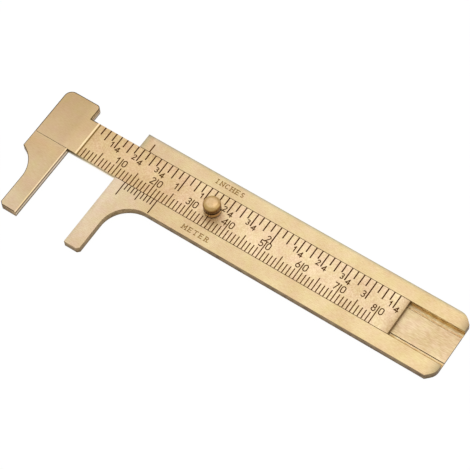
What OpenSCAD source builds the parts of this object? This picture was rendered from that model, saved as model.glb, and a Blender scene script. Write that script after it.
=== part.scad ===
// Pocket vernier caliper in brass. A flat frame with a milled channel carries
// the fixed jaw, and a graduated slide in the channel carries the moving jaw
// and a thumb knob. The jaws open towards -X.
// X = 0 is the vernier zero line, Y = 0 the middle of the channel and
// Z = 0 the flat back. All sizes are in millimetres.

/* [Scale] */
// Widest opening that the scale reads
scale_len = 80; // [40:10:90]
// Opening of the jaws as drawn
opening = 13.9; // [0:0.1:40]
// Distance from a measuring face to the zero line beside it
zero_offset = 2.8; // [2.4:0.1:5]
// Length of slide that stays in the channel at the widest opening
engage_len = 7.8; // [7:0.1:16]

/* [Frame] */
// Thickness of the frame, the head and both jaws
frame_thick = 2; // [1.9:0.1:4]
// Width of the rail above the channel
upper_rail_w = 4; // [3:0.1:8]
// Width of the rail below the channel
lower_rail_w = 4.15; // [3:0.05:8]
// Corner chamfer at the far end of the frame
end_chamfer = 1.9; // [0.3:0.1:2.8]
// Radius where a file has softened one end of each chamfer
end_soft_r = 3; // [0.5:0.5:4]
// Width of the raised land along the channel floor
land_w = 7.3; // [7:0.1:8.4]
// Depth of the relief grooves beside the land
relief_depth = 0.2; // [0.05:0.05:0.3]

/* [Jaws] */
// Reach of the jaws below the slide
jaw_reach = 20.1; // [14:0.1:40]
// Width of the fixed jaw at its tip
fixed_tip_w = 4.05; // [3:0.05:8]
// Width of the moving jaw at its tip
moving_tip_w = 4.5; // [3:0.1:7]
// Radius of the sweep at the root of each jaw
jaw_sweep_r = 7.5; // [4:0.1:9]
// Corner cut on the outer side of each tip
tip_chamfer = 0.6; // [0.1:0.1:1.5]
// Width of the bevel along the moving jaw's measuring edge
jaw_bevel = 0.15; // [0.1:0.05:0.5]

/* [Slide] */
// Width of the slide's graduated face
slide_w = 9.5; // [9.3:0.1:14]
// Thickness of the slide
slide_thick = 1.2; // [1.1:0.05:1.5]
// How far each flank of the slide spreads under the rails
flank_spread = 0.2; // [0.1:0.05:0.5]
// Depth of the sloped part of each flank
flank_depth = 0.5; // [0.3:0.05:0.7]
// Running gap beside the slide
side_gap = 0.05; // [0.02:0.01:0.15]
// Running gap under the slide
floor_gap = 0.1; // [0.05:0.01:0.2]

/* [Head] */
// Length of the head from its outer end to the measuring face
head_len = 9.25; // [8:0.05:14]
// Corner radius at the outer end of the head
head_outer_r = 2; // [0.5:0.1:2.5]
// Corner radius of the tab beside the measuring face
head_inner_r = 1; // [0.3:0.1:2]
// Diameter of the dowels that locate the moving jaw
dowel_d = 1.2; // [0.8:0.1:2]
// Distance between the two dowels
dowel_pitch = 6.4; // [4:0.1:8]
// Metal left above each dowel's blind hole
dowel_cover = 0.4; // [0.3:0.05:0.6]
// Radial clearance of dowels, pins and shanks in their holes
pin_fit = 0.01; // [0:0.01:0.05]

/* [Knob] */
// Distance from the scale's zero line to the knob
knob_x = 35; // [8:0.5:60]
// Diameter of the knob
knob_d = 4.2; // [3.6:0.1:6]
// Height of the knob above the slide
knob_h = 3.7; // [3.3:0.1:5]
// Radius of the knob's upper edge
knob_edge_r = 0.9; // [0.2:0.1:1]
// Height of the collar at the foot of the knob
collar_h = 1.5; // [0.8:0.05:1.8]
// Width of the turned groove above the collar
neck_h = 0.3; // [0.1:0.05:0.4]
// Depth of the turned groove
neck_depth = 0.3; // [0.1:0.05:0.5]
// Spherical radius of the knob's crown
crown_r = 6; // [4:0.5:20]
// Diameter of the knob's shank
shank_d = 1.6; // [1:0.1:1.8]
// Diameter of the peened end of the shank
peen_d = 2.3; // [2:0.1:2.8]
// Thickness of the peened end
peen_h = 0.22; // [0.1:0.02:0.25]
// Diameter of the washer under the slide
washer_d = 3; // [2.9:0.1:3.3]
// Thickness of the washer
washer_h = 0.25; // [0.1:0.05:0.25]
// Clearance round the washer in its counterbore
washer_gap = 0.1; // [0.05:0.05:0.2]
// Depth of the counterbore that holds the washer
counterbore_h = 0.55; // [0.52:0.01:0.65]

/* [Friction spring] */
// Width of the spring strip
spring_w = 2.6; // [1.5:0.1:3]
// Thickness of the spring strip
spring_thick = 0.12; // [0.08:0.01:0.2]
// Depth of the pocket that holds the spring
pocket_depth = 0.5; // [0.35:0.05:0.65]
// Clearance round the spring in its pocket
spring_gap = 0.2; // [0.1:0.05:0.3]
// Wall between the pocket and the inner end of the slide
pocket_wall = 1; // [0.6:0.1:2]
// Gap left between the spring's bow and the channel floor
bow_gap = 0.03; // [0.01:0.01:0.05]

/* [Travel stop] */
// Diameter of the stop pin
stop_d = 1; // [0.6:0.1:1.1]
// Height of the stop pin above the channel floor
stop_h = 0.45; // [0.3:0.05:0.5]
// Distance of the stop pin from the middle of the channel
stop_y = 2.9; // [2.6:0.05:3]
// Clearance round the stop pin in its slot
stop_gap = 0.15; // [0.1:0.01:0.2]
// Depth of the slot under the slide
slot_depth = 0.55; // [0.52:0.01:0.7]

/* [Graduations] */
// Width of an engraved line
line_w = 0.28; // [0.1:0.02:0.3]
// Width of an inch line and of the index that reads it
inch_line_w = 0.32; // [0.1:0.02:0.4]
// Width of the scale's zero line
zero_line_w = 0.42; // [0.1:0.02:0.5]
// Depth of the engraving
mark_depth = 0.1; // [0.05:0.01:0.15]
// Width of the bevel on the head's side of the scale's zero line
zero_bevel_w = 0.45; // [0.2:0.05:0.8]
// Depth of that bevel at the line
zero_bevel_depth = 0.06; // [0.02:0.01:0.08]
// Length of a millimetre line
mm_line = 2.45; // [1.5:0.05:3]
// Length of a five millimetre line
mm_five = 3.5; // [2:0.05:4]
// Length of a ten millimetre line
mm_ten = 4.75; // [3:0.05:5]
// Length of a sixteenth inch line
sixteenth_line = 2.2; // [1.5:0.05:2.5]
// Length of an eighth inch line
eighth_line = 3; // [2:0.05:3.2]
// Length of a quarter inch line
quarter_line = 3.55; // [2.5:0.05:4]
// Length of a whole inch line
inch_line = 4.95; // [3:0.05:5]
// Bare length of slide past the last inch line
inch_margin = 1.5; // [1:0.1:2.4]
// Length of a vernier line
vernier_line = 1.8; // [1:0.05:2.2]
// Length of the vernier's middle line
vernier_five = 2.65; // [1.2:0.05:2.8]
// Length of the vernier's first and last lines
vernier_ten = 3.9; // [1.5:0.05:4]
// Length of the inch index line
index_line = 2.4; // [1:0.05:2.8]

/* [Figures] */
// Height of the millimetre figures
mm_figure_h = 1.6; // [1:0.05:1.8]
// Height of the millimetre figures above the slide's lower edge
mm_figure_y = 3; // [2.5:0.05:3.2]
// Height of the quarter inch figures
quarter_figure_h = 1.25; // [0.8:0.05:1.5]
// Depth of the quarter inch figures' feet below the slide's upper edge
quarter_figure_y = 3.55; // [3:0.05:3.8]
// Drop of the lower quarter figure below the upper one
quarter_drop = 0.55; // [0:0.05:0.8]
// Height of the whole inch figures
inch_figure_h = 1.5; // [1:0.05:1.8]
// Depth of the inch figures' feet below the slide's upper edge
inch_figure_y = 4.8; // [4:0.05:5]
// Distance from a line to the middle of the figure beside it
figure_offset = 0.95; // [0.7:0.05:1.1]
// Width of the figures' strokes
stroke_w = 0.26; // [0.1:0.01:0.32]
// Distance from the vernier zero line to the middle of the unit words
word_x = 21.2; // [16:0.1:36]
// Height of the unit words
word_h = 1.1; // [0.8:0.05:1.8]
// Shift of the unit words from the middle of their rail towards its outer edge
word_shift = 0.15; // [0:0.05:0.5]
// Distance from the first to the last letter of the inch scale's word
inch_word_len = 6.9; // [6:0.1:9]
// Distance from the first to the last letter of the metric scale's word
metric_word_len = 6; // [5:0.1:9]
// Width of the strokes of the unit words
letter_stroke_w = 0.22; // [0.1:0.01:0.34]

/* [Hidden] */
$fn = 64;
// Overshoot that lets a cut pass clear through a face
cut = 0.5;
inch = 25.4;
vernier_pitch = 0.9;
vernier_count = 10;
// Half length of a serif against the letter's height
serif = 0.16;
// Places across the caliper
half_w = slide_w / 2;
upper_y = half_w + upper_rail_w;
lower_y = -half_w - lower_rail_w;
tip_y = -half_w - jaw_reach;
// Levels from the back to the face
slide_z = frame_thick - slide_thick;
floor_z = slide_z - floor_gap;
relief_z = floor_z - relief_depth;
flank_z = frame_thick - flank_depth;
mark_z = frame_thick - mark_depth;
// Places along the frame
face_x = -zero_offset;
frame_len = scale_len + engage_len;
end_x = face_x + frame_len;
stop_x = face_x + engage_len / 2;
// Places along the slide, from its own zero line
slide_end = frame_len - zero_offset;
head_x = face_x - head_len;
head_mid = [face_x - head_len / 2, (upper_y - half_w) / 2];
// The spring pocket keeps inside the length that never leaves the channel
pocket_len = engage_len - 2 * pocket_wall;
pocket_x = slide_end - engage_len / 2;
spring_len = pocket_len - 2 * spring_gap;
spring_rise = slide_z + pocket_depth - floor_z - bow_gap - spring_thick;
spring_r = (pow(spring_len / 2, 2) + pow(spring_rise, 2)) / (2 * spring_rise);
// The inch scale runs on by whole quarters to the end of the slide
quarter = inch / 4;
quarters = floor((slide_end - inch_margin) / quarter);

brass_rail = "#EBD09A";
brass_slide = "#E6CBA6";
brass_jaw = "#D8BE90";
brass_knob = "#DDBE86";
bronze = "#B98A52";
steel = "#9A9A98";

// Straight stroke of a figure, from point a to point b
module line_stroke(a, b, w) {
    run = b - a;
    translate([a[0], a[1], mark_z])
        rotate(atan2(run[1], run[0]))
            translate([-w / 2, -w / 2, 0])
                cube([norm(run) + w, w, mark_depth + cut]);
}

// Round stroke of a figure about point c
module arc_stroke(c, r, from, to, w) {
    translate([c[0], c[1], mark_z])
        rotate(from)
            rotate_extrude(angle = to - from)
                translate([r - w / 2, 0])
                    square([w, mark_depth + cut]);
}

// Short strokes that close a letter's stem at its foot and at its head
function foot(x) = [x - serif, 0, x + serif, 0];
function cap(x) = [x - serif, 1, x + serif, 1];

// Strokes of one sign, on a cell of height 1 that stands on y = 0 about x = 0.
// Four numbers are a straight stroke, from [x, y] to [x, y].
// Five numbers are an arc: centre [x, y], radius, start angle, end angle.
function sign_strokes(s) =
    s == "0" ? [[0, 0.72, 0.28, 0, 180], [0, 0.28, 0.28, 180, 360],
                [-0.28, 0.28, -0.28, 0.72], [0.28, 0.28, 0.28, 0.72]] :
    s == "1" ? [[0.05, 0, 0.05, 1], [0.05, 1, -0.2, 0.76]] :
    s == "2" ? [[0, 0.73, 0.27, 0, 170], [0.27, 0.73, -0.27, 0], [-0.27, 0, 0.27, 0]] :
    s == "3" ? [[0, 0.76, 0.24, -110, 160], [0, 0.26, 0.26, -160, 110]] :
    s == "4" ? [[0.16, 0, 0.16, 1], [0.16, 1, -0.38, 0.27], [-0.38, 0.27, 0.36, 0.27]] :
    s == "5" ? [[0.22, 1, -0.19, 1], [-0.19, 1, -0.19, 0.51], [0, 0.29, 0.29, -150, 130]] :
    s == "6" ? [[0, 0.28, 0.28, 0, 360], [-0.25, 0.4, 0.1, 1]] :
    s == "7" ? [[-0.27, 1, 0.27, 1], [0.27, 1, -0.1, 0]] :
    s == "8" ? [[0, 0.27, 0.27, 0, 360], [0, 0.77, 0.23, 0, 360]] :
    s == "9" ? [[0, 0.72, 0.28, 0, 360], [0.25, 0.6, -0.1, 0]] :
    s == "I" ? [[0, 0, 0, 1], foot(0), cap(0)] :
    s == "N" ? [[-0.36, 0, -0.36, 1], [-0.36, 1, 0.36, 0], [0.36, 0, 0.36, 1],
                foot(-0.36), cap(0.36)] :
    s == "C" ? [[0, 0.6, 0.4, 40, 180], [0, 0.4, 0.4, 180, 320], [-0.4, 0.4, -0.4, 0.6]] :
    s == "H" ? [[-0.36, 0, -0.36, 1], [0.36, 0, 0.36, 1], [-0.36, 0.5, 0.36, 0.5],
                foot(-0.36), foot(0.36), cap(-0.36), cap(0.36)] :
    s == "E" ? [[-0.3, 0, -0.3, 1], [-0.42, 1, 0.36, 1], [-0.3, 0.5, 0.22, 0.5],
                [-0.42, 0, 0.36, 0]] :
    s == "S" ? [[0, 0.75, 0.25, 20, 285], [0, 0.25, 0.25, -160, 105]] :
    s == "M" ? [[-0.42, 0, -0.42, 1], [-0.42, 1, 0, 0.35], [0, 0.35, 0.42, 1], [0.42, 1, 0.42, 0],
                foot(-0.42), foot(0.42)] :
    s == "T" ? [[0, 0, 0, 1], [-0.42, 1, 0.42, 1], foot(0)] :
    s == "R" ? [[-0.3, 0, -0.3, 1], [-0.42, 1, 0.08, 1], [-0.3, 0.5, 0.08, 0.5],
                [0.08, 0.75, 0.25, -90, 90], [0.02, 0.5, 0.36, 0], foot(-0.3), foot(0.36)] :
    [];

// Engraving tool for one sign of height h that stands on point at
module sign(s, at, h, w = stroke_w) {
    for (k = sign_strokes(s))
        if (len(k) == 5)
            arc_stroke(at + h * [k[0], k[1]], h * k[2], k[3], k[4], w);
        else
            line_stroke(at + h * [k[0], k[1]], at + h * [k[2], k[3]], w);
}

// Engraving tool for a unit word centred on point at, whose letters spread over a length
module word(letters, at, length) {
    last = len(letters) - 1;
    for (i = [0 : last])
        sign(letters[i], at + [(i / last - 1 / 2) * length, 0], word_h, letter_stroke_w);
}

// Engraving tool for one line across the scale, between two heights
module mark(x, y0, y1, w = line_w) {
    translate([x - w / 2, min(y0, y1), mark_z])
        cube([w, abs(y1 - y0), mark_depth + cut]);
}

// Millimetre lines and figures along the slide's lower edge
module mm_scale() {
    for (i = [1 : scale_len])
        mark(i, -half_w - cut,
             -half_w + (i % 10 == 0 ? mm_ten : i % 5 == 0 ? mm_five : mm_line));
    for (i = [10 : 10 : scale_len]) {
        sign(str(floor(i / 10)), [i - figure_offset, mm_figure_y - half_w], mm_figure_h);
        sign("0", [i + figure_offset, mm_figure_y - half_w], mm_figure_h);
    }
}

// Inch lines in sixteenths and their figures along the slide's upper edge
module inch_scale() {
    for (i = [1 : 4 * quarters])
        mark(i * quarter / 4, half_w + cut,
             half_w - (i % 16 == 0 ? inch_line : i % 4 == 0 ? quarter_line :
                       i % 2 == 0 ? eighth_line : sixteenth_line), inch_line_w);
    for (q = [1 : quarters])
        if (q % 4 == 0)
            sign(str(q / 4), [q * quarter - figure_offset, half_w - inch_figure_y], inch_figure_h);
        else {
            sign(str(q % 4), [q * quarter - figure_offset, half_w - quarter_figure_y],
                 quarter_figure_h);
            sign("4", [q * quarter + figure_offset, half_w - quarter_figure_y - quarter_drop],
                 quarter_figure_h);
        }
}

// Solid drawn as a profile across the caliper and run along X
module run_along(x0, length) {
    translate([x0, 0, 0])
        rotate([90, 0, 90])
            linear_extrude(length)
                children();
}

// Bevel on the head's side of the scale's zero line
module zero_bevel() {
    foot_x = -zero_line_w / 2;
    foot_z = frame_thick - zero_bevel_depth;
    clear_z = frame_thick + cut;
    slope = zero_bevel_w / zero_bevel_depth;
    translate([0, half_w + cut, 0])
        rotate([90, 0, 0])
            linear_extrude(slide_w + 2 * cut)
                polygon([[0, foot_z], [0, clear_z],
                         [foot_x - slope * (clear_z - foot_z), clear_z], [foot_x, foot_z]]);
}

// Material outside the softened end of a chamfer: its edges run off along +Y and down at 45 degrees
module soft_waste(r) {
    middle = [-r, r * tan(22.5)];
    difference() {
        polygon([middle, [cut, middle[1]], [cut, -cut], middle + (r + cut) * [1, -1] / sqrt(2)]);
        translate(middle)
            circle(r);
    }
}

// Material outside a round corner that points towards +X and +Y
module corner_waste(r) {
    difference() {
        square(2 * r);
        circle(r);
    }
}

// Outline of the frame with the fixed jaw
module frame_outline() {
    difference() {
        polygon([[face_x, lower_y], [end_x - end_chamfer, lower_y], [end_x, lower_y + end_chamfer],
                 [end_x, upper_y - end_chamfer], [end_x - end_chamfer, upper_y], [face_x, upper_y]]);
        translate([end_x, lower_y + end_chamfer])
            soft_waste(end_soft_r);
        translate([end_x - end_chamfer, upper_y])
            rotate(90)
                soft_waste(end_soft_r);
    }
    tip_x = face_x + fixed_tip_w;
    polygon([[face_x, tip_y], [tip_x - tip_chamfer, tip_y], [tip_x, tip_y + tip_chamfer],
             [tip_x, lower_y + cut], [face_x, lower_y + cut]]);
    difference() {
        translate([tip_x - cut, lower_y - jaw_sweep_r])
            square([jaw_sweep_r + cut, jaw_sweep_r + cut]);
        translate([tip_x + jaw_sweep_r, lower_y - jaw_sweep_r])
            circle(jaw_sweep_r, $fn = 128);
    }
}

// Section of the channel: undercut walls, a land and two relief grooves
module channel_section() {
    mouth = half_w + side_gap;
    wall = mouth + flank_spread;
    land = land_w / 2;
    polygon([[-mouth, frame_thick + cut], [-mouth, frame_thick], [-wall, flank_z],
             [-wall, relief_z], [-land, relief_z], [-land, floor_z],
             [land, floor_z], [land, relief_z], [wall, relief_z],
             [wall, flank_z], [mouth, frame_thick], [mouth, frame_thick + cut]]);
}

// Frame with the fixed jaw, the channel, the vernier and the unit words
module frame() {
    color(brass_rail)
        difference() {
            linear_extrude(frame_thick)
                frame_outline();
            run_along(face_x - cut, frame_len + 2 * cut)
                channel_section();
            translate([stop_x, stop_y, -cut])
                cylinder(d = stop_d + 2 * pin_fit, h = floor_z + 2 * cut);
            for (i = [0 : vernier_count])
                mark(i * vernier_pitch, -half_w,
                     -half_w - (i % vernier_count == 0 ? vernier_ten :
                                2 * i == vernier_count ? vernier_five : vernier_line));
            mark(0, half_w, half_w + index_line, inch_line_w);
            word("INCHES", [word_x, half_w + (upper_rail_w - word_h) / 2 + word_shift], inch_word_len);
            word("METER", [word_x, -half_w - (lower_rail_w + word_h) / 2 - word_shift],
                 metric_word_len);
        }
}

// Pin in the channel floor that ends the travel
module stop_pin() {
    color(steel)
        translate([stop_x, stop_y, 0])
            cylinder(d = stop_d, h = floor_z + stop_h);
}

// Outline of the head, shared by the slide and the lap of the moving jaw
module head_outline() {
    difference() {
        translate([head_x, -half_w])
            square([head_len, upper_y + half_w]);
        translate([face_x - head_inner_r, upper_y - head_inner_r])
            corner_waste(head_inner_r);
        translate([head_x + head_outer_r, upper_y - head_outer_r])
            mirror([1, 0])
                corner_waste(head_outer_r);
    }
}

// Section of the slide with its spread flanks
module slide_section() {
    foot = half_w + flank_spread;
    polygon([[-half_w, frame_thick], [-foot, flank_z], [-foot, slide_z],
             [foot, slide_z], [foot, flank_z], [half_w, frame_thick]]);
}

// Places of the two dowels
module at_dowels() {
    for (side = [-1, 1])
        translate([head_mid[0], head_mid[1] + side * dowel_pitch / 2, 0])
            children();
}

// Things that move with the slide are drawn from its zero line
module on_slide() {
    translate([-opening, 0, 0])
        children();
}

// Pocket for the friction spring, open towards the channel floor
module spring_pocket() {
    width = spring_w + 2 * spring_gap;
    translate([pocket_x - pocket_len / 2, -width / 2, slide_z - cut])
        cube([pocket_len, width, pocket_depth + cut]);
}

// Slot that the stop pin runs in, open towards the channel floor
module stop_slot() {
    reach = stop_d / 2 + stop_gap;
    closed_end = stop_x - reach;
    open_end = stop_x + scale_len + stop_d / 2 + pin_fit;
    translate([closed_end, stop_y - reach, slide_z - cut])
        cube([open_end - closed_end, 2 * reach, slot_depth + cut]);
}

// Graduated slide with the upper layer of the head
module slide() {
    color(brass_slide)
        on_slide()
            difference() {
                union() {
                    translate([0, 0, slide_z])
                        linear_extrude(slide_thick)
                            head_outline();
                    translate([head_x + head_len / 2, -half_w, slide_z])
                        cube([head_len / 2 + zero_offset, slide_w, slide_thick]);
                    run_along(face_x, frame_len)
                        slide_section();
                }
                at_dowels()
                    translate([0, 0, slide_z - cut])
                        cylinder(d = dowel_d + 2 * pin_fit, h = slide_thick - dowel_cover + cut);
                translate([knob_x, 0, slide_z - cut]) {
                    cylinder(d = shank_d + 2 * pin_fit, h = slide_thick + 2 * cut);
                    cylinder(d = washer_d + 2 * washer_gap, h = counterbore_h + cut);
                }
                spring_pocket();
                stop_slot();
                mark(0, -half_w - cut, half_w + cut, zero_line_w);
                zero_bevel();
                mm_scale();
                inch_scale();
            }
}

// Outline of the moving jaw below the seam
module jaw_outline() {
    tip_x = face_x - moving_tip_w;
    sweep = [tip_x - jaw_sweep_r, lower_y - jaw_sweep_r];
    difference() {
        translate([head_x, tip_y])
            square([head_len, -half_w - tip_y]);
        translate(sweep)
            circle(jaw_sweep_r, $fn = 128);
        translate([sweep[0], tip_y - cut])
            square([jaw_sweep_r, sweep[1] - tip_y + cut]);
        translate([sweep[0] - head_len, tip_y - cut])
            square([head_len, lower_y - tip_y + cut]);
        polygon([[tip_x - cut, tip_y - cut], [tip_x + tip_chamfer + cut, tip_y - cut],
                 [tip_x - cut, tip_y + tip_chamfer + cut]]);
    }
}

// Waste along the moving jaw's measuring edge, up to the seam
module bevel_waste() {
    reach = jaw_bevel + cut;
    translate([face_x, -half_w, frame_thick])
        rotate([90, 0, 0])
            linear_extrude(jaw_reach + cut)
                polygon([[-reach, cut], [cut, cut], [cut, -reach]]);
}

// Moving jaw with the lap that carries the head
module moving_jaw() {
    color(brass_jaw)
        on_slide()
            difference() {
                union() {
                    linear_extrude(frame_thick)
                        jaw_outline();
                    linear_extrude(slide_z)
                        head_outline();
                }
                bevel_waste();
                at_dowels()
                    translate([0, 0, -cut])
                        cylinder(d = dowel_d + 2 * pin_fit, h = slide_z + 2 * cut);
            }
}

// Dowels that locate the moving jaw, flush with the back
module jaw_dowels() {
    color(bronze)
        on_slide()
            at_dowels()
                cylinder(d = dowel_d, h = frame_thick - dowel_cover);
}

// Turned thumb knob with the shank that is peened under the slide
module thumb_knob() {
    r = knob_d / 2;
    collar_top = frame_thick + collar_h;
    cap_z = collar_top + neck_h;
    knob_top = frame_thick + knob_h;
    washer_z = slide_z + counterbore_h - washer_h;
    color(brass_knob)
        on_slide()
            translate([knob_x, 0, 0])
                rotate_extrude() {
                    translate([0, washer_z - peen_h])
                        square([peen_d / 2, peen_h]);
                    translate([0, washer_z - peen_h])
                        square([shank_d / 2, collar_top - washer_z + peen_h]);
                    translate([0, frame_thick])
                        square([r, collar_h]);
                    translate([0, frame_thick])
                        square([r - neck_depth, knob_top - knob_edge_r - frame_thick]);
                    intersection() {
                        union() {
                            translate([0, cap_z])
                                square([r, knob_top - knob_edge_r - cap_z]);
                            translate([0, cap_z])
                                square([r - knob_edge_r, knob_top - cap_z]);
                            translate([r - knob_edge_r, knob_top - knob_edge_r])
                                circle(knob_edge_r);
                        }
                        translate([0, knob_top - crown_r])
                            circle(crown_r, $fn = 128);
                        square([r, knob_top]);
                    }
                }
}

// Washer that the shank is peened over
module knob_washer() {
    color(bronze)
        on_slide()
            translate([knob_x, 0, slide_z + counterbore_h - washer_h])
                difference() {
                    cylinder(d = washer_d, h = washer_h);
                    translate([0, 0, -cut])
                        cylinder(d = shank_d + 2 * pin_fit, h = washer_h + 2 * cut);
                }
}

// Bow spring whose ends bear on the pocket and whose middle bears on the floor
module friction_spring() {
    bow_z = floor_z + bow_gap + spring_r + spring_thick;
    color(bronze)
        on_slide()
            intersection() {
                translate([pocket_x, 0, bow_z])
                    rotate([90, 0, 0])
                        difference() {
                            cylinder(r = spring_r + spring_thick, h = spring_w, center = true, $fn = 256);
                            cylinder(r = spring_r, h = spring_w + 2 * cut, center = true, $fn = 256);
                        }
                translate([pocket_x - spring_len / 2, -spring_w / 2, floor_z])
                    cube([spring_len, spring_w, slide_z + pocket_depth - floor_z]);
            }
}

frame();
stop_pin();
slide();
moving_jaw();
jaw_dowels();
thumb_knob();
knob_washer();
friction_spring();
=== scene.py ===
"""Looks of a brass pocket vernier caliper: dressed plates, engraving, studio and camera."""
import logging
import math
from abc import ABC, abstractmethod
from dataclasses import dataclass, field, replace
from enum import Enum
from typing import Any

import bmesh
import bpy
from mathutils import Matrix, Vector


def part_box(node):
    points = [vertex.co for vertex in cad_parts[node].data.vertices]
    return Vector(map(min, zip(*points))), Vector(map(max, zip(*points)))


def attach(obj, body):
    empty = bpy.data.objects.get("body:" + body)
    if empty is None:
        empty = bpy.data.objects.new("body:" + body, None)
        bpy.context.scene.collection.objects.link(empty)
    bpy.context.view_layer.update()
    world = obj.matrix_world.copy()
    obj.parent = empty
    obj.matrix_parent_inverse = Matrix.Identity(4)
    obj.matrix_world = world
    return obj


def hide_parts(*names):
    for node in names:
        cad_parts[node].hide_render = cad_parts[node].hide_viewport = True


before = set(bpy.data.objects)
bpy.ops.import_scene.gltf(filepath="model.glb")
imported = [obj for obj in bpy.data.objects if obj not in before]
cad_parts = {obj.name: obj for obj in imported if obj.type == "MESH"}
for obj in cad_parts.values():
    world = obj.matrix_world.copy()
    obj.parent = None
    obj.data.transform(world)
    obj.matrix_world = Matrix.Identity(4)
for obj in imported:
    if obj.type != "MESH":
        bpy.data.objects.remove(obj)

LOG = logging.getLogger("caliper")
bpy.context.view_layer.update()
MM = 0.001
IMAGE_PX = 470

# Half the width of the slide's face, and the gap between it and a rail
SLIDE_HALF_WIDTH = 4.75 * MM
RUNNING_GAP = 0.05 * MM

# Closest distance at which two corners of a solid count as one
WELD = 0.002 * MM
# Slack for telling which level or line a face lies on
SLACK = 0.004 * MM
# Slack for a cut that meets a corner
SNAP = 0.0004 * MM
# Faces that differ by less than this are one flat face
ONE_FACE = math.radians(0.3)
# Edges of a round wall turn by more than the first and less than the second, where sharp edges start
ROUND_WALL = math.radians(1)
SHARP = math.radians(40)
# Share of a face's normal along an axis, past which the face looks that way rather than another
FACING = 0.5
# The same for a face that is square to the axis, for one that is nearly so, and for the upper half of
# a rounding
SQUARE = 0.999
NEARLY_SQUARE = 0.9
UPPER_HALF = 0.7
# Below this share a face runs along the axis, as an upright wall does along Z
UPRIGHT = 0.1
# Past this share along both X and Z a rounding belongs to the moving jaw's bevel
LEANING = 0.2
# A rounding's outline is part of a circle
CIRCULAR = 0.5

# Sockets of a Mix node that mixes colours: its first and second colour, and its result
MIX_FIRST, MIX_SECOND, MIX_RESULT = 6, 7, 2
# Nearly all values of a noise lie between these
NOISE_LOW, NOISE_HIGH = 0.32, 0.68
# Octaves of the noise in a grain, in the patches of tone and in the mottles of hue
GRAIN_DETAIL, PATCH_DETAIL, MOTTLE_DETAIL = 2.0, 3.0, 1.0

Stops = tuple[tuple[float, str], ...]


class Grain(Enum):
    """How a metal surface was worked, which sets the run of its fine pattern."""

    BRUSHED = "brushed along the caliper"
    STIPPLED = "etched to a fine stipple"
    TURNED = "turned on a lathe"
    PLAIN = "left as it was rolled"


class Axis(Enum):
    """Axis of the caliper that colours change along."""

    X = "X"
    Y = "Y"
    Z = "Z"


class Region(Enum):
    """Parts of a plate's surface that carry different finishes."""

    FACE = 0
    HEAD = 1
    SIDE = 2
    FILL = 3
    CUT = 4
    FLOOR = 5
    RELIEF = 6
    WALL = 7
    LAPPED = 8
    BURNISHED = 9
    RIM = 10
    SEAM = 11
    UPPER = 12


def linear(hex_colour: str) -> tuple[float, float, float, float]:
    """Turns an sRGB hex colour into linear light.

    Args:
        hex_colour: Six hex digits with a leading #.

    Returns:
        Linear red, green, blue and an alpha of 1.
    """
    parts = [int(hex_colour[i : i + 2], 16) / 255 for i in (1, 3, 5)]
    red, green, blue = [p / 12.92 if p <= 0.04045 else ((p + 0.055) / 1.055) ** 2.4 for p in parts]
    return red, green, blue, 1.0


WHITE = linear("#FFFFFF")
# Hues that brass drifts between, as what its colour is multiplied by
ROSY = linear("#FFF7F3")
YELLOWISH = linear("#FEFCED")


def add_node(tree: Any, kind: str, settings: dict[str, Any], sockets: dict[Any, Any]) -> Any:
    """Adds a node to a tree, with its settings and what feeds its sockets.

    Args:
        tree: The node tree.
        kind: The node's type name.
        settings: Properties of the node by name.
        sockets: For each input, by name or index, a socket to link or a value to set.

    Returns:
        The new node.
    """
    node = tree.nodes.new(kind)
    for name, value in settings.items():
        setattr(node, name, value)
    for key, value in sockets.items():
        if isinstance(value, bpy.types.NodeSocket):
            tree.links.new(value, node.inputs[key])
        else:
            node.inputs[key].default_value = value
    return node


def add_math(tree: Any, operation: str, first: Any, second: Any) -> Any:
    """Adds a calculation with two numbers to a tree.

    Args:
        tree: The node tree.
        operation: What is done with the two numbers.
        first: A number or its socket.
        second: The other one.

    Returns:
        The result's socket.
    """
    return add_node(tree, "ShaderNodeMath", {"operation": operation}, {0: first, 1: second}).outputs[0]


@dataclass(frozen=True)
class Run:
    """Colours that change along one axis, each with its place in mm."""

    axis: Axis
    stops: Stops

    def socket(self, tree: Any, place: Any) -> Any:
        """Adds the colours to a material.

        Args:
            tree: The material's node tree.
            place: The coordinate socket, in metres.

        Returns:
            The colour socket.
        """
        first, last = self.stops[0][0], self.stops[-1][0]
        along = add_node(tree, "ShaderNodeSeparateXYZ", {}, {0: place}).outputs[self.axis.value]
        share = add_node(tree, "ShaderNodeMapRange", {}, {
            "Value": along, "From Min": first * MM, "From Max": last * MM}).outputs[0]
        ramp = add_node(tree, "ShaderNodeValToRGB", {}, {0: share})
        marks = ramp.color_ramp.elements
        while len(marks) < len(self.stops):
            marks.new(1.0)
        for mark, (at, colour) in zip(marks, self.stops):
            mark.position = (at - first) / (last - first)
            mark.color = linear(colour)
        return ramp.outputs[0]


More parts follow.
